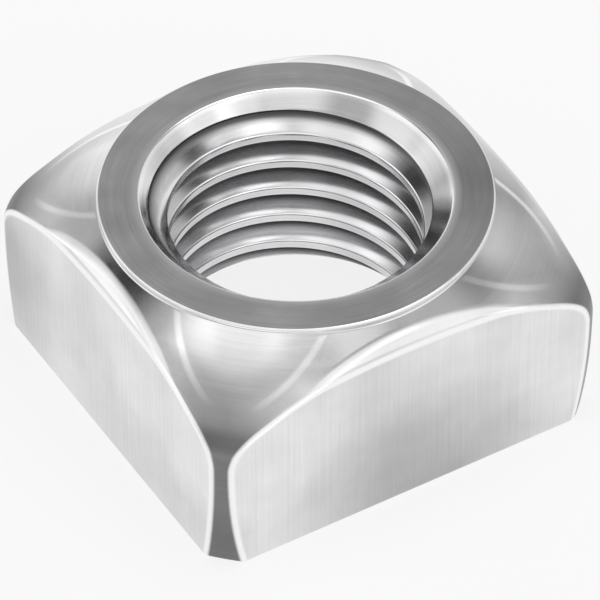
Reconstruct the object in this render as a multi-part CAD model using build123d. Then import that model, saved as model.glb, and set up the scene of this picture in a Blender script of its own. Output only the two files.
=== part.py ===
from build123d import *
from build123d.topology import SkipClean
import math
import os

# Square nut with a coarse metric thread, pressed and tapped from one piece of steel.
# Sizes are in millimetres and angles in degrees. The bearing face lies on z = 0, the thread's
# axis is the Z axis, and the chamfered end with the raised ring points up.

# The square blank.
across_flats = 24.0
height = 12.5
base_edge_radius = 0.3

# The corners, rounded by a barrelled envelope about the axis.
corner_trim = 0.57
barrel_radius = 45.0
barrel_belly_height = 6.8
shoulder_radius = 2.0

# The raised ring on top and the cone that falls from it to the corners.
ring_setback = 1.3
ring_rise = 0.2
chamfer_angle = 30.0

# The four lands between ring and flats: arched, and a little deeper than the cone.
land_step = 0.2
land_angle = 32.0
land_arch_radius = 26.0

# The rolled band along the top of each flat: steeper, and less arched than the land.
band_depth = 1.7
band_angle = 56.0
band_arch_radius = 47.0

# The thread, a right-hand one, with a countersink at each end.
thread_diameter = 16.0
thread_pitch = 2.0
thread_flank_angle = 60.0
thread_start_angle = -175.0
countersink_margin = 0.5
countersink_angle = 90.0

# How far a form reaches past the face that it cuts or joins.
overrun = 1.0

# Places worked out from the sizes above.
half_flats = across_flats / 2
corner_radius = half_flats * math.sqrt(2) - corner_trim
ring_radius = half_flats - ring_setback
chamfer_top = height - ring_rise
thread_radius = thread_diameter / 2
flank_slope = math.tan(math.radians(thread_flank_angle / 2))
root_flat = thread_pitch / 8
crest_flat = thread_pitch / 4
thread_depth = (thread_pitch - root_flat - crest_flat) / 2 / flank_slope
minor_radius = thread_radius - thread_depth
rim_radius = thread_radius + countersink_margin
countersink_depth = (rim_radius - minor_radius) / math.tan(math.radians(countersink_angle / 2))


def blank():
    """Square block with rounded edges around the bearing face."""
    block = Box(across_flats, across_flats, height, align=(Align.CENTER, Align.CENTER, Align.MIN))
    return fillet(block.edges().group_by(Axis.Z)[0], base_edge_radius)


def turned_envelope():
    """Form about the axis that rounds the corners: barrelled wall, blended shoulder and top cone."""
    cone_foot = ring_radius + chamfer_top / math.tan(math.radians(chamfer_angle))
    with BuildPart() as envelope:
        with BuildSketch(Plane.XZ) as half_section:
            with BuildLine():
                Polyline((0, 0), (cone_foot, 0), (ring_radius, chamfer_top), (0, chamfer_top), close=True)
            make_face()
            with Locations((corner_radius - barrel_radius, barrel_belly_height)):
                Circle(barrel_radius, mode=Mode.INTERSECT)
            shoulder = half_section.vertices().sort_by(Axis.Y)[-3]
            fillet(shoulder, shoulder_radius)
            base_corner = half_section.vertices().group_by(Axis.Y)[0].sort_by(Axis.X)[-1]
            fillet(base_corner, base_edge_radius)
        revolve(axis=Axis.Z)
    return envelope.part


def arched_roof(edge_offset, edge_height, slope_angle, arch_radius):
    """Roof over the nut, falling away both ways along X and arched about an axis parallel to X.

    The roof passes edge_height at edge_offset from the middle, where its arch has arch_radius."""
    slope = math.tan(math.radians(slope_angle))
    reach = half_flats + overrun
    ridge = arch_radius + slope * edge_offset
    eaves = ridge - slope * reach
    with BuildPart() as roof:
        with BuildSketch(Plane.XY):
            with BuildLine():
                Polyline((-reach, 0), (reach, 0), (reach, eaves), (0, ridge), (-reach, eaves), close=True)
            make_face()
        revolve(axis=Axis.X)
    return Pos(0, 0, edge_height - arch_radius) * roof.part


def pressed_top():
    """The roofs that shape the lands and the rolled bands on all four sides."""
    lands = arched_roof(ring_radius, chamfer_top - land_step, land_angle, land_arch_radius)
    bands = arched_roof(half_flats, height - band_depth, band_angle, band_arch_radius)
    two_sides = lands & bands
    return two_sides & Rot(0, 0, 90) * two_sides


def ring():
    """Disc whose top is the raised ring, sunk deep enough to close with the lands around it."""
    thickness = ring_rise + land_step + overrun
    return Cylinder(ring_radius, thickness, align=(Align.CENTER, Align.CENTER, Align.MAX))


def body():
    """The pressed nut before it is bored."""
    pressed = blank() & turned_envelope() & pressed_top()
    return pressed + Pos(0, 0, height) * ring()


def tapped_hole(solid):
    """The solid bored to the thread's minor diameter, threaded right through and countersunk at both ends.

    The half turns of bore and groove meet at the same two lines, and their faces are not merged there:
    no face wraps round the hole, so each stretch of crest is a face of its own."""
    with SkipClean():
        threaded = solid - bore_halves() - groove_turns()
        return threaded - countersink() - Pos(0, 0, height) * Rot(180, 0, 0) * countersink()


def bore_halves():
    """The two halves of the straight hole, parted where the groove's half turns meet."""
    half = Cylinder(minor_radius, height, arc_size=180, align=Align.NONE)
    return [Rot(0, 0, thread_start_angle + angle) * half for angle in (0, 180)]


def groove_turns():
    """Half turns of the groove, one after another from a turn below the nut to a turn above it."""
    half_turn = half_turn_of_groove()
    rise = thread_pitch / 2
    first = -2
    last = math.ceil(height / rise) + 2
    return [Pos(0, 0, rise * turn) * Rot(0, 0, thread_start_angle + 180 * turn) * half_turn
            for turn in range(first, last)]


def half_turn_of_groove():
    """Half a turn of the helical groove between the crests.

    Its section reaches inside the crests, but not so far that neighbouring turns would meet."""
    inner_radius = minor_radius - crest_flat / 4 / flank_slope
    half_root = root_flat / 2
    half_mouth = half_root + (thread_radius - inner_radius) * flank_slope
    path = Helix(thread_pitch, thread_pitch / 2, minor_radius)
    with BuildSketch(Plane.XZ) as section:
        with BuildLine():
            Polyline((inner_radius, -half_mouth), (thread_radius, -half_root), (thread_radius, half_root),
                     (inner_radius, half_mouth), close=True)
        make_face()
    return sweep(section.sketch, path=path, is_frenet=True)


def countersink():
    """Cone that opens one end of the hole, with its rim on z = 0."""
    return Cone(rim_radius, minor_radius, countersink_depth, align=(Align.CENTER, Align.CENTER, Align.MIN))


os.makedirs("parts", exist_ok=True)
finished = tapped_hole(body())
finished.label = "nut"
export_step(finished, "parts/nut.step")
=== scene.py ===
import bpy
import math
import numpy as np
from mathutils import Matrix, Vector


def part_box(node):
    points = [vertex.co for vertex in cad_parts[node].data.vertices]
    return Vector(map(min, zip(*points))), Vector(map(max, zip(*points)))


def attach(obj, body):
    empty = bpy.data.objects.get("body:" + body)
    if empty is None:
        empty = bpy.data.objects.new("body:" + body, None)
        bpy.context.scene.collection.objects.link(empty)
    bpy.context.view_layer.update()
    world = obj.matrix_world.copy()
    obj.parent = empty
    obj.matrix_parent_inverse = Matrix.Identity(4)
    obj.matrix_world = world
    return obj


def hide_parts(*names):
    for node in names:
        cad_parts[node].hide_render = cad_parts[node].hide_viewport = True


# A bright steel square nut on a pale floor. Its form is the part's own, in millimetres and degrees,
# with every edge rounded as pressing and turning leave it.

MM = 0.001

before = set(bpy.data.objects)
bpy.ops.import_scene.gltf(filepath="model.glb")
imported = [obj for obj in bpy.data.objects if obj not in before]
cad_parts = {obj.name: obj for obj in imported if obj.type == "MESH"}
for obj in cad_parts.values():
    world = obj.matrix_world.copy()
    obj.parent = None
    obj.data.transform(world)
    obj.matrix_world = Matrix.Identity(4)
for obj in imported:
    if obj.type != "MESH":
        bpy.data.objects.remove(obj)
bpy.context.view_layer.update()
lowest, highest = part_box("nut")

# The square blank, as large as the frame says.
across_flats = (highest[0] - lowest[0]) / MM
height = (highest[2] - lowest[2]) / MM
base_edge_radius = 0.3

# The corners, rounded by a barrelled envelope about the axis.
corner_trim = 0.57
barrel_radius = 45.0
barrel_belly_height = 6.8
shoulder_radius = 2.0

# The raised ring on top, how deep its disc is sunk, and the cone that falls from it to the corners.
ring_setback = 1.3
ring_rise = 0.2
ring_sink = 1.5
chamfer_angle = 30.0

# The four lands between ring and flats, and the rolled band along the top of each flat.
land_step = 0.2
land_angle = 32.0
land_arch_radius = 26.0
band_depth = 1.7
band_angle = 56.0
band_arch_radius = 47.0

# The thread and its countersinks.
thread_diameter = 16.0
thread_pitch = 2.0
thread_flank_angle = 60.0
thread_start_angle = -175.0
countersink_margin = 0.5
countersink_angle = 90.0

# How far each kind of edge is rounded. The creases grow rounder from a radius on, over a width.
flat_edge_round = 0.22
land_edge_round = 0.16
crease_round = 0.3
neck_round = 1.2
neck_from = 12.2
neck_width = 3.6
diagonal_round = 0.7
ring_edge_round = 0.08
ring_root_round = 0.06
rim_round = 0.2
crest_round = 0.06
root_round = 0.12
runout_round = 0.05

# The bright worn lines, partly wear and partly painted highlights along the edges: how wide on each side of
# an edge, how full in the middle, and how far an edge of the thread has to be eased to show fully worn.
worn_highlight_width = 0.25
worn_highlight_fullness = 1.6
thread_highlight_ease = 0.012

# How wide the change from turned to pressed finish is, and how much wider towards the corners.
lathe_blend = 0.06
neck_blend = 0.3

# The radii where the turned and the pressed top begin to dull, rougher and darkened with painted shade,
# towards the corners and where both are fully so, and the radius and width over which the creases' painted
# highlight lines fade.
dull_shade_from = 11.4
pressed_dull_shade_from = 13.4
dull_shade_to = 15.6
crease_fade_from = 12.2
crease_fade_width = 2.2

# How dull the thread is at least and at most, and how that follows from the groove's depth: rougher and
# darkened with painted shade, most in the roots.
thread_dull_shade = 0.05
root_dull_shade = 1.2
dull_shade_per_depth = 2.5
dull_shade_below = 1.2

# Painted shade: soft darker patches on the flats, a land and the ring: middle, reach and strength.
painted_shade_patches = [((1.0, -12.0, 1.5), 9.0, 0.4), ((-12.0, 11.0, 5.0), 9.0, 0.38),
          ((-4.0, 12.0, 3.0), 8.0, 0.3), ((12.0, 4.0, 6.0), 8.0, 0.25),
          ((-1.5, -10.0, 12.0), 5.0, 0.12), ((9.6, -4.6, 12.5), 5.5, 0.28)]

# The meshes are made of lines down the nut. Each is worked out at many samples, of which a few become its
# rows: how many, their steps where the line is plain and where it turns, and how many radians a millimetre
# is a turn.
side_lines = 36
corner_lines = 25
corner_crowding = 1.6
ring_samples = 500
side_samples = 2600
ring_rows = (30, 0.05, 0.012, 3.0)
side_rows = (160, 0.7, 0.05, 0.6)
bore_lines = 360
flat_samples = 6
rim_samples = 24
bore_samples = 5200
bore_rows = (236, 0.25, 0.04, 3.0)

# How many lines on each side a row is averaged with, how many samples on each side the line along a crease
# is averaged with, and the tilts between which that line passes the upper end of a corner's strip.
row_reach = 3
guide_reach = 180
strip_tilts = (0.1, 0.5)

# How often a stretch is halved to find a place in it, the step that slopes are measured with, and the least
# slope that a distance is worked out from.
ray_halvings = 40
guide_halvings = 24
tiny = 1e-4
least_slope = 0.1

# How far the seam on the bearing face lies outside the countersink's rim, how far inside the ring the rays
# start, and how far outside the ring the samples of its wall end.
base_seam_margin = 0.25
ray_circle_setback = 0.9
ring_clearance = 0.15

# Cells of the steel's random patterns per millimetre. Of the turned marks only the first number is that: the
# others are cells per unit of the turn's sine and cosine.
drawn_cells = (5.0, 5.0, 0.12)
patch_cells = (0.13, 0.13, 0.13)
cloud_cells = (0.5, 0.5, 0.5)
grain_cells = (6.0, 6.0, 6.0)
coarse_turned_cells = (3.5, 1.6, 1.6)
fine_turned_cells = (11.0, 3.4, 3.4)

# How strong the marks of pressing, drawing and turning are.
pressed_strength = 0.25
drawn_strength = 0.6
turned_strength = 1.0

# The steel's tone: its range in the clouds, what the patches multiply it by, how much the marks and the
# dullness, which is painted shade, change it, and the tone of worn edges, partly painted highlights, with
# its least and largest share.
cloud_tones = (0.73, 0.78)
patch_tones = (0.9, 1.06)
mark_contrast = 0.3
dull_shade_loss = 0.74
worn_highlight_tone = 0.96
worn_highlight_shares = (0.92, 1.0)
blue_tint = 1.012

# The steel's roughness, what marks and clouds add to it, that of dull places, and how high marks and clouds
# stand.
plain_roughness = 0.12
mark_roughness = 0.15
cloud_roughness = 0.05
dull_roughness = 0.34
relief_depth = 1.6e-6
cloud_relief = 1.5

# Places worked out from the sizes above.
half_flats = across_flats / 2
corner_radius = half_flats * math.sqrt(2) - corner_trim
ring_radius = half_flats - ring_setback
chamfer_top = height - ring_rise
thread_radius = thread_diameter / 2
flank_slope = math.tan(math.radians(thread_flank_angle / 2))
crest_flat = thread_pitch / 4
root_flat = thread_pitch / 8
minor_radius = thread_radius - (thread_pitch - root_flat - crest_flat) / 2 / flank_slope
rim_radius = thread_radius + countersink_margin

# The outside and the hole meet at two seams, and past its foot the ring's wall has ended. The outside's
# places are found by rays from a circle inside the nut.
top_seam_radius = ring_radius - ring_edge_round
base_seam_radius = rim_radius + base_seam_margin
ring_foot_radius = ring_radius + 1.2 * ring_root_round
ray_radius = ring_radius - ray_circle_setback
ray_height = height / 2

# How many samples of the hole's lines come before and after its wall.
past_wall = ((0, 0), (flat_samples - 1 + rim_samples, rim_samples + 1))


def rounded_max(a, b, radius):
    """The larger of two distances, with the edge between their surfaces rounded."""
    over_a = np.maximum(a + radius, 0)
    over_b = np.maximum(b + radius, 0)
    return np.minimum(np.maximum(a, b), -radius) + np.hypot(over_a, over_b)


def rounded_min(a, b, radius):
    """The smaller of two distances, with the corner between their surfaces filled."""
    return -rounded_max(-a, -b, radius)


def smooth_max(a, b, width):
    """The larger of two values, eased where they differ by less than twice the width."""
    share = np.maximum(1 - np.abs(a - b) / max(2 * width, 1e-9), 0)
    return np.maximum(a, b) + share ** 2 * width / 2


def turned_distance(r, z):
    """Distance outside the turned envelope: barrelled wall, shoulder and top cone."""
    slope = math.radians(chamfer_angle)
    cone_r, cone_z = math.sin(slope), math.cos(slope)
    cone = (r - ring_radius) * cone_r + (z - chamfer_top) * cone_z
    axis_r = corner_radius - barrel_radius
    barrel = np.hypot(r - axis_r, z - barrel_belly_height) - barrel_radius
    # The shoulder's arc is centred where cone and barrel, both set in by its radius, cross.
    inner = barrel_radius - shoulder_radius
    to_cone = (ring_radius - axis_r) * cone_r + (chamfer_top - barrel_belly_height) * cone_z
    to_cone -= shoulder_radius
    along = math.sqrt(inner ** 2 - to_cone ** 2)
    centre_r = axis_r + to_cone * cone_r + along * cone_z
    centre_z = barrel_belly_height + to_cone * cone_z - along * cone_r
    from_r, from_z = r - centre_r, z - centre_z
    above_wall = (centre_r - axis_r) * from_z > (centre_z - barrel_belly_height) * from_r
    below_cone = from_r * cone_z > from_z * cone_r
    shoulder = np.hypot(from_r, from_z) - shoulder_radius
    return np.where(above_wall & below_cone, shoulder, np.maximum(cone, barrel))


def roof_distance(along, across, z, edge_offset, edge_height, slope_angle, arch_radius):
    """Distance above a roof that falls away along one axis and is arched about it."""
    slope = math.radians(slope_angle)
    from_axis = np.hypot(across, z - (edge_height - arch_radius))
    return (from_axis - arch_radius + math.tan(slope) * (np.abs(along) - edge_offset)) * math.cos(slope)


def side_surfaces(along, across, z):
    """Distances outside one opposite pair of flats, their bands and their lands."""
    band_height = height - band_depth
    land_height = chamfer_top - land_step
    flat = np.abs(along) - half_flats
    band = roof_distance(along, across, z, half_flats, band_height, band_angle, band_arch_radius)
    land = roof_distance(along, across, z, ring_radius, land_height, land_angle, land_arch_radius)
    return flat, band, land


def top_distance(along, across, z):
    """Distance above the bands and lands of one opposite pair of sides."""
    _, band, land = side_surfaces(along, across, z)
    return rounded_max(band, land, land_edge_round)


def shaped_top(x, y, z):
    """Distance outside the pressed top and the turned corners, their creases rounder at the corners."""
    r = np.hypot(x, y)
    top = rounded_max(top_distance(x, y, z), top_distance(y, x, z), diagonal_round)
    share = np.clip((r - neck_from) / neck_width, 0, 1)
    radius = crease_round + (neck_round - crease_round) * share * share * (3 - 2 * share)
    return rounded_max(top, turned_distance(r, z), radius)


def body_distance(x, y, z):
    """Distance outside the nut before it is bored."""
    r = np.hypot(x, y)
    flats = np.maximum(np.abs(x), np.abs(y)) - half_flats
    pressed = rounded_max(rounded_max(shaped_top(x, y, z), flats, flat_edge_round), -z, base_edge_radius)
    pressed = np.maximum(pressed, z - chamfer_top)
    disc = rounded_max(r - ring_radius, z - height, ring_edge_round)
    disc = np.maximum(disc, height - ring_sink - z)
    return rounded_min(pressed, disc, ring_root_round)


def gradient(field, x, y, z):
    """How fast a field of places changes along X, Y and Z."""
    along_x = field(x + tiny, y, z) - field(x - tiny, y, z)
    along_y = field(x, y + tiny, z) - field(x, y - tiny, z)
    along_z = field(x, y, z + tiny) - field(x, y, z - tiny)
    return np.stack([along_x, along_y, along_z], axis=-1) / (2 * tiny)


def body_normals(x, y, z):
    """Unit normals of the outside of the nut."""
    normal = gradient(body_distance, x, y, z)
    return normal / np.linalg.norm(normal, axis=-1, keepdims=True)


def main_faces(x, y, z):
    """Distances outside the flats, the pressed top, the bearing face and the turned corners."""
    sides = np.array([side_surfaces(x, y, z), side_surfaces(y, x, z)])
    return sides[:, 0].max(axis=0), sides[:, 1:].max(axis=(0, 1)), -z, turned_distance(np.hypot(x, y), z)


def past_flat_edge(x, y, z):
    """How far the flats lie outside all other faces: 0 on their edges."""
    flats, _, base, _ = main_faces(x, y, z)
    return flats - np.maximum(shaped_top(x, y, z), base)


def past_crease(x, y, z):
    """How far the turned corner lies outside the pressed top: 0 on the crease between them."""
    _, top, _, turned = main_faces(x, y, z)
    return turned - top


def line_share(away):
    """Share from 0 to 1 of the bright line, partly wear and partly painted highlight, at a distance from the
    middle of its edge.
    """
    return np.clip(worn_highlight_fullness * (1 - away / worn_highlight_width), 0, 1)


def worn_highlight_line(gap, x, y, z, normals):
    """Share from 0 to 1 of the bright line, partly wear and partly painted highlight, along the edge where a
    gap is 0.
    """
    slope = gradient(gap, x, y, z)
    slope -= (slope * normals).sum(axis=-1, keepdims=True) * normals
    return line_share(np.abs(gap(x, y, z)) / np.maximum(np.linalg.norm(slope, axis=-1), least_slope))


def soft_share(lead, width):
    """Share from 0 to 1 of the face that leads another, with a change of a given width between them."""
    return np.clip(0.5 + lead / width, 0, 1)


def finish_and_light_marks(x, y, z, normals):
    """How worn the surface is by its edges, with painted highlights along them, how far it was turned in a
    lathe, and how dull it is, with painted shade.

    Each is a share from 0 to 1. The corners are dull and darkened with painted shade."""
    flats, top, _, turned = main_faces(x, y, z)
    r = np.hypot(x, y)
    fade = np.clip((r - crease_fade_from) / crease_fade_width, 0, 1)
    over_top = soft_share(turned - top, lathe_blend + neck_blend * fade)
    lathe = np.minimum(soft_share(turned - flats, lathe_blend), over_top)
    on_flat = soft_share(flats - shaped_top(x, y, z), lathe_blend)
    on_base = z < base_edge_radius / 3

    # The creases' bright lines, partly wear and partly painted highlight, fade towards the corners, but
    # those along the flats don't.
    crease = worn_highlight_line(past_crease, x, y, z, normals) * (1 - fade) * (1 - on_flat)
    wear_and_highlight = np.maximum(crease, worn_highlight_line(past_flat_edge, x, y, z, normals))
    # A bright line along the ring's edge, partly wear and partly painted highlight.
    on_ring = line_share(np.abs(r - ring_radius) + np.abs(z - height))
    wear_and_highlight = np.where(r > ring_radius + 2 * ring_root_round, wear_and_highlight, on_ring)
    # Painted shade: towards the corners the surface darkens, as well as growing rougher.
    start = pressed_dull_shade_from + (dull_shade_from - pressed_dull_shade_from) * lathe
    dull_and_shade = (1 - on_flat) * np.clip((r - start) / (dull_shade_to - start), 0, 1)
    return wear_and_highlight, np.where((z > chamfer_top) | on_base, 1.0, lathe), np.where(on_base, 0.0, dull_and_shade)


def spread(line, count, plain_step, fine_step, sharp_turn):
    """Row numbers, with fractions, that take a line evenly where it is plain and closely where it turns.

    The first three columns are places, the next three normals."""
    run = np.linalg.norm(np.diff(line[:, :3], axis=0), axis=-1)
    turn = np.linalg.norm(np.diff(line[:, 3:6], axis=0), axis=-1)
    share = np.minimum(turn / np.maximum(run, 1e-9) / sharp_turn, 1)
    sums = np.concatenate([[0], np.cumsum(run * (1 / plain_step + share / fine_step))])
    return np.interp(np.linspace(0, sums[-1], count), sums, np.arange(len(line)))


def pick(line, rows):
    """The columns of a line at row numbers with fractions."""
    return np.stack([np.interp(rows, np.arange(len(line)), column) for column in line.T], axis=-1)


def calmed(rows, reach):
    """Row numbers averaged with those of the lines beside, so that rows run evenly from line to line."""
    padded = np.pad(rows, ((reach, reach), (0, 0)), mode="reflect")
    return sum(padded[step:step + len(rows)] for step in range(2 * reach + 1)) / (2 * reach + 1)


def ray_tilt(r, z):
    """Tilt of a ray from the inner circle to a place."""
    return math.atan2(z - ray_height, r - ray_radius)


def cast(field, angle, tilt):
    """Places where rays from the inner circle leave a form, for each angle and tilt."""
    def place(reach):
        r = ray_radius + reach * np.cos(tilt)
        return r * np.cos(angle), r * np.sin(angle), ray_height + reach * np.sin(tilt) + 0 * angle

    near = np.zeros(np.broadcast(angle, tilt).shape)
    far = np.full_like(near, half_flats)
    for _ in range(ray_halvings):
        middle = (near + far) / 2
        outside = field(*place(middle)) > 0
        far = np.where(outside, middle, far)
        near = np.where(outside, near, middle)
    return place(near)


def corner_lead(x, y, z):
    """How far the corner's turned surface lies outside the side's: 0 on the crease between them."""
    flats, top, _, turned = main_faces(x, y, z)
    return turned - np.maximum(flats, top)


def crease_angles(tilt):
    """Angle that follows the crease between side and corner, for tilts from steep to low.

    Over the corner's strip it stays at the angle of the strip's upper end, and it never shifts fast."""
    def sharp(x, y, z):
        turned = turned_distance(np.hypot(x, y), z)
        return np.maximum(turned, turned - corner_lead(x, y, z))

    low, high = np.zeros_like(tilt), np.full_like(tilt, math.pi / 4)
    for _ in range(guide_halvings):
        middle = (low + high) / 2
        on_corner = corner_lead(*cast(sharp, middle, tilt)) > 0
        high = np.where(on_corner, middle, high)
        low = np.where(on_corner, low, middle)
    by_strip = (tilt > strip_tilts[0]) & (tilt < strip_tilts[1])
    strip_top = int(np.argmin(np.where(by_strip, low, 1.0)))
    low[:strip_top] = np.minimum(low[:strip_top], low[strip_top])
    window = np.hanning(2 * guide_reach + 1)
    return np.convolve(np.pad(low, guide_reach, mode="edge"), window / window.sum(), mode="valid")


def build_sector():
    """Lines down an eighth of the outside, from the ring's edge to the bearing face.

    They follow the crease between side and corner, and crowd together on both sides of it."""
    past_ring = ray_tilt(ring_radius + ring_clearance, chamfer_top - 2 * land_step)
    over_ring = np.linspace(ray_tilt(top_seam_radius, height), past_ring, ring_samples, endpoint=False)
    over_side = np.linspace(past_ring, ray_tilt(base_seam_radius, 0), side_samples)
    tilt = np.concatenate([over_ring, over_side])
    crease = crease_angles(np.clip(tilt, ray_tilt(corner_radius, 0), past_ring))
    side = 1 - np.linspace(1, 0, side_lines)[:, None] ** 2
    corner = np.linspace(0, 1, corner_lines)[1:, None] ** corner_crowding
    angle = np.concatenate([crease * side, crease + (math.pi / 4 - crease) * corner])
    places = cast(body_distance, angle, tilt)
    normals = body_normals(*places)
    marks = np.stack(finish_and_light_marks(*places, normals), axis=-1)
    lines = np.concatenate([np.stack(places, axis=-1), normals, marks], axis=-1)
    # The ring's wall and the rest are spread apart, so that each keeps its own rows from line to line.
    rows = []
    for line in lines:
        foot = int(np.argmax(np.hypot(line[:, 0], line[:, 1]) > ring_foot_radius))
        on_wall = spread(line[:foot + 1], *ring_rows)
        on_side = foot + spread(line[foot:], *side_rows)
        rows.append(np.concatenate([on_wall, on_side[1:]]))
    rows = calmed(calmed(np.array(rows), row_reach), row_reach)
    return np.array([pick(line, row) for line, row in zip(lines, rows)])


def build_body():
    """The outside of the nut as one mesh: eight like sectors round the axis."""
    sector = build_sector()
    mirrored = sector[::-1].copy()
    mirrored[..., [1, 4]] *= -1
    quarter = np.concatenate([mirrored[:-1], sector[:-1]])
    lines = []
    for turn in range(4):
        c, s = math.cos(math.radians(90 * turn)), math.sin(math.radians(90 * turn))
        turned = quarter.copy()
        for x, y in ((0, 1), (3, 4)):
            turned[..., x] = quarter[..., x] * c - quarter[..., y] * s
            turned[..., y] = quarter[..., x] * s + quarter[..., y] * c
        lines.append(turned)
    return make_piece("nut_body", np.concatenate(lines))


def thread_cut(z, angle, eased):
    """Radius of the tapped wall, with its crests and roots eased or left sharp."""
    lead = thread_pitch * (angle - math.radians(thread_start_angle)) / (2 * math.pi)
    from_crest = np.abs((z - lead) % thread_pitch - thread_pitch / 2)
    flank = minor_radius + (from_crest - crest_flat / 2) / flank_slope
    crested = smooth_max(minor_radius, flank, crest_round * eased)
    return -smooth_max(-crested, -thread_radius, root_round * eased)


def bore_radius(z, angle, eased=1.0):
    """Radius of the tapped and countersunk hole at a height and angle."""
    # A countersink of 90 degrees narrows by as much as it is deep.
    ends = rim_radius - np.minimum(z, height - z)
    return smooth_max(thread_cut(z, angle, eased), ends, runout_round * eased)


def bore_outline(angle):
    """Radii and heights of the hole's samples at each angle, and those of its wall alone."""
    # Each rim is an arc between the flat face and the countersink's cone.
    bend = np.radians(np.linspace(0, countersink_angle / 2, rim_samples))
    rim_start = rim_radius + rim_round * math.tan(math.radians(countersink_angle / 4))
    rim_r = rim_start - rim_round * np.sin(bend)
    rim_depth = rim_round * (1 - np.cos(bend))
    wall_z = np.linspace(height - rim_depth[-1], rim_depth[-1], bore_samples)[1:-1]
    wall_r = bore_radius(wall_z, angle)
    arc_r = np.tile(rim_r, (len(angle), 1))
    top_r = np.tile(np.linspace(top_seam_radius, rim_r[0], flat_samples)[:-1], (len(angle), 1))
    base_r = np.full((len(angle), 1), base_seam_radius)
    r = np.concatenate([top_r, arc_r, wall_r, arc_r[:, ::-1], base_r], axis=1)
    top_z = np.full(flat_samples - 1, height)
    z = np.concatenate([top_z, height - rim_depth, wall_z, rim_depth[::-1], [0.0]]) + 0 * r
    return r, z, wall_r, wall_z


def bore_normals(angle, r, points, wall_z):
    """Unit normals of the hole and the ring's top."""
    lean = (bore_radius(wall_z, angle + tiny) - bore_radius(wall_z, angle - tiny)) / (2 * tiny)
    lean = np.pad(lean, past_wall)
    around_x = lean * np.cos(angle) - r * np.sin(angle)
    around_y = lean * np.sin(angle) + r * np.cos(angle)
    around = np.stack([around_x, around_y, 0 * r], axis=-1)
    normals = np.cross(around, np.gradient(points, axis=1))
    normals /= np.linalg.norm(normals, axis=-1, keepdims=True)
    return normals


def bore_marks(angle, r, z, wall_r, wall_z):
    """How worn, turned and dull the hole and the ring's top are, with painted highlights on worn edges and
    painted shade where dull. The roots' dullness passes 1 a little.
    """
    sharp_r = bore_radius(wall_z, angle, eased=0.0)
    # Painted highlights, partly wear: bright lines on the thread's eased edges and along the rims.
    wear_and_highlight = np.pad(np.clip((wall_r - sharp_r) / thread_highlight_ease, 0, 1), past_wall)
    from_rim = np.minimum(np.hypot(r - rim_radius, z - height), np.hypot(r - rim_radius, z))
    wear_and_highlight = np.maximum(wear_and_highlight, line_share(from_rim))
    # The roots stay dull, darkened with painted shade. On the countersinks' cones there is no groove.
    cut = thread_cut(wall_z, angle, 0.0)
    depth = (cut - minor_radius) / (thread_radius - minor_radius)
    grooved = wall_r < cut + runout_round
    dull_and_shade = np.clip(dull_shade_per_depth * depth - dull_shade_below, thread_dull_shade, root_dull_shade) * grooved
    return np.stack([wear_and_highlight, np.ones_like(wear_and_highlight), np.pad(dull_and_shade, past_wall)], axis=-1)


def build_bore():
    """The ring's top and the hole as one mesh, down to the inner edge of the bearing face."""
    angle = np.radians(np.arange(bore_lines) * 360 / bore_lines)[:, None]
    r, z, wall_r, wall_z = bore_outline(angle)
    points = np.stack([r * np.cos(angle), r * np.sin(angle), z], axis=-1)
    normals = bore_normals(angle, r, points, wall_z)
    lines = np.concatenate([points, normals, bore_marks(angle, r, z, wall_r, wall_z)], axis=-1)
    chosen = [pick(line, spread(line, *bore_rows)) for line in lines]
    return make_piece("nut_bore", np.array(chosen)[::-1])


def make_piece(name, lines):
    """A smooth mesh from lines of places round the axis, closed from the last line to the first.

    The columns hold each place, its normal and its shares of wear with painted highlight, lathe work and
    dullness with painted shade."""
    across, along, columns = lines.shape
    index = np.arange(across * along).reshape(across, along)
    after = np.roll(index, -1, axis=0)
    faces = np.stack([index[:, :-1], index[:, 1:], after[:, 1:], after[:, :-1]], axis=-1).reshape(-1, 4)
    rows = lines.reshape(-1, columns)
    mesh = bpy.data.meshes.new(name)
    mesh.from_pydata((rows[:, :3] * MM).tolist(), [], faces.tolist())
    mesh.shade_smooth()
    mesh.normals_split_custom_set_from_vertices(rows[:, 3:6].tolist())
    for mark, values in zip(("wear_and_highlight", "lathe", "dull_and_shade"), rows[:, 6:].T):
        attribute = mesh.attributes.new(mark, "FLOAT", "POINT")
        attribute.data.foreach_set("value", values.astype(np.float32))
    piece = bpy.data.objects.new(name, mesh)
    bpy.context.collection.objects.link(piece)
    return piece


def add_camera():
    """The camera at the photograph's angle, with a long lens, looking a little below the ring."""
    azimuth, elevation = math.radians(-31.09), math.radians(42.29)
    distance = 317.5
    aim_right, aim_down = 0.218, 5.777
    back = Vector((math.sin(azimuth) * math.cos(elevation), -math.cos(azimuth) * math.cos(elevation),
                   math.sin(elevation)))
    right = Vector((math.cos(azimuth), math.sin(azimuth), 0))
    top = Vector((0, 0, height))
    place = top + distance * back
    aim = top + aim_right * right - aim_down * back.cross(right)
    lens = bpy.data.cameras.new("camera")
    lens.lens = 354.75
    lens.sensor_width = 36.0
    lens.clip_start = 0.01
    camera = bpy.data.objects.new("camera", lens)
    camera.location = place * MM
    camera.rotation_euler = (aim - place).to_track_quat("-Z", "Y").to_euler()
    bpy.context.collection.objects.link(camera)
    bpy.context.scene.camera = camera


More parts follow.
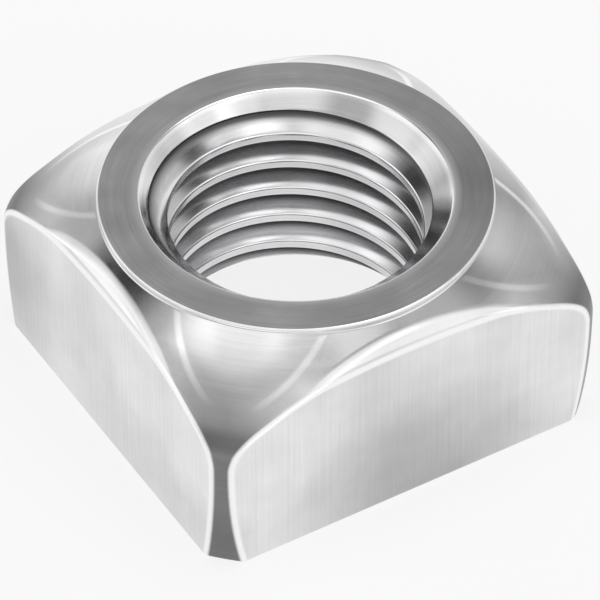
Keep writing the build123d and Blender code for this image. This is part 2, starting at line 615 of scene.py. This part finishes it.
class Graph:
    """Short calls for making a node tree. A value given to a socket is a plain one or another socket."""

    def __init__(self, tree):
        self.tree = tree

    def feed(self, socket, value):
        if isinstance(value, bpy.types.NodeSocket):
            self.tree.links.new(value, socket)
        else:
            socket.default_value = value

    def add(self, kind, inputs=(), **settings):
        node = self.tree.nodes.new(kind)
        for name, value in settings.items():
            setattr(node, name, value)
        for name, value in dict(inputs).items():
            self.feed(node.inputs[name], value)
        return node

    def math(self, operation, a, b=0.0, c=0.0):
        return self.add("ShaderNodeMath", {0: a, 1: b, 2: c}, operation=operation).outputs[0]

    def times(self, a, b):
        return self.math("MULTIPLY", a, b)

    def ease(self, value, low, high, to_low, to_high):
        """A value that goes smoothly from one to another while the given one goes from low to high."""
        inputs = {"Value": value, "From Min": low, "From Max": high, "To Min": to_low, "To Max": to_high}
        node = self.add("ShaderNodeMapRange", inputs)
        node.interpolation_type = "SMOOTHSTEP"
        return node.outputs[0]

    def mix(self, share, a, b):
        """A value between a and b."""
        return self.add("ShaderNodeMix", {0: share, 2: a, 3: b}, data_type="FLOAT").outputs[0]

    def noise(self, place, cells, detail=2.0):
        """A smooth random value about 0.5, with so many cells per unit along each axis."""
        stretched = self.add("ShaderNodeVectorMath", {0: place, 1: cells}, operation="MULTIPLY")
        inputs = {"Vector": stretched.outputs[0], "Scale": 1.0, "Detail": detail}
        return self.add("ShaderNodeTexNoise", inputs).outputs[0]

    def mark(self, name):
        return self.add("ShaderNodeAttribute", attribute_name=name).outputs["Fac"]


def lathe_marks(graph, place):
    """Fine marks left by a tool that went round the axis and climbed with the thread."""
    x, y, z = graph.add("ShaderNodeSeparateXYZ", {0: place}).outputs
    climb = graph.times(z, 2 * math.pi / thread_pitch)
    phase = graph.math("SUBTRACT", climb, graph.math("ARCTAN2", y, x))
    radius = graph.math("SQRT", graph.math("ADD", graph.times(x, x), graph.times(y, y)))
    along = {0: radius, 1: graph.math("SINE", phase), 2: graph.math("COSINE", phase)}
    path = graph.add("ShaderNodeCombineXYZ", along).outputs[0]
    coarse = graph.noise(path, coarse_turned_cells)
    fine = graph.noise(path, fine_turned_cells)
    return graph.math("ADD", graph.times(coarse, 0.5), graph.times(fine, 0.5))


def tool_marks(graph, place, grain):
    """The marks of drawing, pressing and turning, and how strong they are."""
    normal = graph.add("ShaderNodeNewGeometry").outputs["Normal"]
    normal_z = graph.add("ShaderNodeSeparateXYZ", {0: normal}).outputs[2]
    upright = graph.ease(graph.math("ABSOLUTE", normal_z), 0.15, 0.5, 1.0, 0.0)
    lathe = graph.mark("lathe")
    drawn = graph.noise(place, drawn_cells)
    marks = graph.mix(lathe, graph.mix(upright, grain, drawn), lathe_marks(graph, place))
    strength = graph.mix(lathe, graph.mix(upright, pressed_strength, drawn_strength), turned_strength)
    return marks, strength


def steel_tone(graph, place, clouds, grain, marks, strength, dull_and_shade):
    """Steel that clouds a little, darker in patches of painted shade and where dull with painted shade, and
    brighter along worn edges with painted highlights.
    """
    patches = graph.noise(place, patch_cells, detail=1.0)
    tone = graph.ease(clouds, 0.3, 0.7, *cloud_tones)
    tone = graph.times(tone, graph.ease(patches, 0.35, 0.65, *patch_tones))
    # Painted shade: soft darker patches.
    for middle, reach, loss in painted_shade_patches:
        away = graph.add("ShaderNodeVectorMath", {0: place, 1: middle}, operation="DISTANCE")
        tone = graph.times(tone, graph.ease(away.outputs["Value"], 0.0, reach, 1 - loss, 1.0))
    contrast = graph.times(graph.math("SUBTRACT", marks, 0.5), graph.times(strength, mark_contrast))
    tone = graph.times(tone, graph.math("ADD", contrast, 1.0))
    # Painted shade where dull, and painted highlights along worn edges.
    tone = graph.times(tone, graph.math("MULTIPLY_ADD", dull_and_shade, -dull_shade_loss, 1.0))
    worn_highlight = graph.times(graph.mark("wear_and_highlight"), graph.ease(grain, 0.3, 0.55, *worn_highlight_shares))
    return graph.mix(worn_highlight, tone, worn_highlight_tone)


def steel_roughness(graph, clouds, marks, strength, dull_and_shade):
    """Smoother on the pressed faces, rougher in the marks, the dull corners and the clouds."""
    by_marks = graph.times(strength, mark_roughness)
    rough = graph.math("MULTIPLY_ADD", graph.math("SUBTRACT", marks, 0.3), by_marks, plain_roughness)
    rough = graph.math("ADD", rough, graph.ease(clouds, 0.35, 0.75, 0.0, cloud_roughness))
    return graph.mix(dull_and_shade, rough, dull_roughness)


def steel():
    """Bright steel: drawn flats, pressed lands, turned ends, cut thread, worn edges with painted highlights
    and dull corners with painted shade.
    """
    material = bpy.data.materials.new("steel")
    material.use_nodes = True
    graph = Graph(material.node_tree)
    shader = material.node_tree.nodes["Principled BSDF"]
    where = graph.add("ShaderNodeTexCoord").outputs["Object"]
    place = graph.add("ShaderNodeVectorMath", {0: where, "Scale": 1 / MM}, operation="SCALE").outputs[0]
    clouds = graph.noise(place, cloud_cells, detail=3.0)
    grain = graph.noise(place, grain_cells, detail=3.0)
    dull_and_shade = graph.mark("dull_and_shade")
    marks, strength = tool_marks(graph, place, grain)

    tone = steel_tone(graph, place, clouds, grain, marks, strength, dull_and_shade)
    colour = graph.add("ShaderNodeCombineColor", {0: tone, 1: tone, 2: graph.times(tone, blue_tint)})
    graph.feed(shader.inputs["Base Color"], colour.outputs[0])
    graph.feed(shader.inputs["Roughness"], steel_roughness(graph, clouds, marks, strength, dull_and_shade))
    relief = graph.math("MULTIPLY_ADD", marks, strength, graph.times(clouds, cloud_relief))
    bump = graph.add("ShaderNodeBump", {"Height": relief, "Distance": relief_depth})
    graph.feed(shader.inputs["Normal"], bump.outputs[0])
    shader.inputs["Metallic"].default_value = 1.0
    return material


def add_floor():
    """A plain pale floor that keeps a soft shadow. Seen or reflected, most of its white is a glow."""
    mesh = bpy.data.meshes.new("floor")
    half, drop = 2.0, -1e-5
    paint_tone, glow_share = 0.9, 0.8
    mesh.from_pydata([(-half, -half, drop), (half, -half, drop), (half, half, drop), (-half, half, drop)],
                     [], [(0, 1, 2, 3)])
    floor = bpy.data.objects.new("floor", mesh)
    bpy.context.collection.objects.link(floor)
    material = bpy.data.materials.new("floor")
    material.use_nodes = True
    graph = Graph(material.node_tree)
    paint = material.node_tree.nodes["Principled BSDF"]
    paint.inputs["Base Color"].default_value = (paint_tone, paint_tone, paint_tone, 1)
    paint.inputs["Roughness"].default_value = 0.9
    paint.inputs["Specular IOR Level"].default_value = 0.0
    path = graph.add("ShaderNodeLightPath")
    seen = graph.math("MAXIMUM", path.outputs["Is Camera Ray"], path.outputs["Is Glossy Ray"])
    seen = graph.math("MAXIMUM", seen, path.outputs["Is Transmission Ray"])
    glow = graph.add("ShaderNodeEmission", {"Color": (1, 1, 1, 1), "Strength": 1.0})
    share = graph.times(seen, glow_share)
    mixed = graph.add("ShaderNodeMixShader", {0: share, 1: paint.outputs[0], 2: glow.outputs[0]})
    graph.feed(material.node_tree.nodes["Material Output"].inputs[0], mixed.outputs[0])
    mesh.materials.append(material)


def studio_light(graph):
    """Soft boxes and darker walls round the object, as a smooth pattern of the sky's directions."""
    # Azimuth from +X towards +Y, elevation, full and faded half-widths in degrees, strength.
    # A flag takes light away.
    boxes = {
        "overhead_left": (170, 72, 10, 24, 0.65),
        "overhead_right": (-46, 73, 4, 13, 0.88),
        "overhead_front": (-104, 79, 4, 12, 0.32),
        "thread_right": (152, 62, 3, 11, 0.4),
        "right_front": (-56, 26, 12, 26, 0.6),
        "front_right": (-74, 43, 8, 16, 0.6),
        "right_side": (-28, 27, 6, 16, 0.3),
        "behind_camera": (-118, 48, 10, 24, 0.45),
        "left_wall": (162, 30, 9, 21, 0.6),
        "left_side": (128, 19, 8, 18, 0.4),
        "left_back_low": (144, 6, 11, 25, 0.4),
        "front_low": (-146, 6, 10, 24, 0.5),
        "right_low": (-91, 17, 12, 26, 0.45),
        "back_low": (88, 8, 9, 20, 0.25),
        "right_wall": (4, 22, 10, 22, 0.25),
        "ring_flag": (46, 43, 11, 20, -0.19),
        "right_flag": (-5, 50, 4, 12, -0.5),
        "left_flag": (122, 43, 7, 16, -0.5),
    }
    direction = graph.add("ShaderNodeTexCoord").outputs["Generated"]
    # The walls are pale near the ground.
    ground_tone, wall_tone = 0.93, 0.53
    rise = graph.add("ShaderNodeSeparateXYZ", {0: direction}).outputs[2]
    total = graph.ease(rise, 0.03, 0.27, ground_tone, wall_tone)
    for azimuth, elevation, full, faded, strength in boxes.values():
        a, e = math.radians(azimuth), math.radians(elevation)
        centre = (math.cos(a) * math.cos(e), math.sin(a) * math.cos(e), math.sin(e))
        facing = graph.add("ShaderNodeVectorMath", {0: direction, 1: centre}, operation="DOT_PRODUCT")
        outer, inner = math.cos(math.radians(faded)), math.cos(math.radians(full))
        glow = graph.ease(facing.outputs["Value"], outer, inner, 0.0, strength)
        total = graph.math("ADD", glow, total)
    return total


def add_studio():
    """The studio's light, with plain white behind the object, and one weak lamp above."""
    world = bpy.data.worlds.new("studio")
    bpy.context.scene.world = world
    world.use_nodes = True
    graph = Graph(world.node_tree)
    studio = graph.tree.nodes["Background"]
    graph.feed(studio.inputs["Color"], studio_light(graph))
    white = graph.add("ShaderNodeBackground", {"Color": (1, 1, 1, 1)})
    camera_ray = graph.add("ShaderNodeLightPath").outputs["Is Camera Ray"]
    mixed = graph.add("ShaderNodeMixShader", {0: camera_ray, 1: studio.outputs[0], 2: white.outputs[0]})
    graph.feed(graph.tree.nodes["World Output"].inputs[0], mixed.outputs[0])

    lamp = bpy.data.lights.new("key", "AREA")
    lamp.size = 0.25
    lamp.energy = 0.25
    key = bpy.data.objects.new("key", lamp)
    key.location = (0.16, 0.02, 0.45)
    key.rotation_euler = (Vector((0, 0, 0)) - key.location).to_track_quat("-Z", "Y").to_euler()
    bpy.context.collection.objects.link(key)


body = build_body()
bore = build_bore()
metal = steel()
for piece in (body, bore):
    piece.data.materials.append(metal)
    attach(piece, "root")
    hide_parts("nut")
add_floor()
add_studio()
add_camera()
bpy.context.scene.view_settings.view_transform = "Standard"
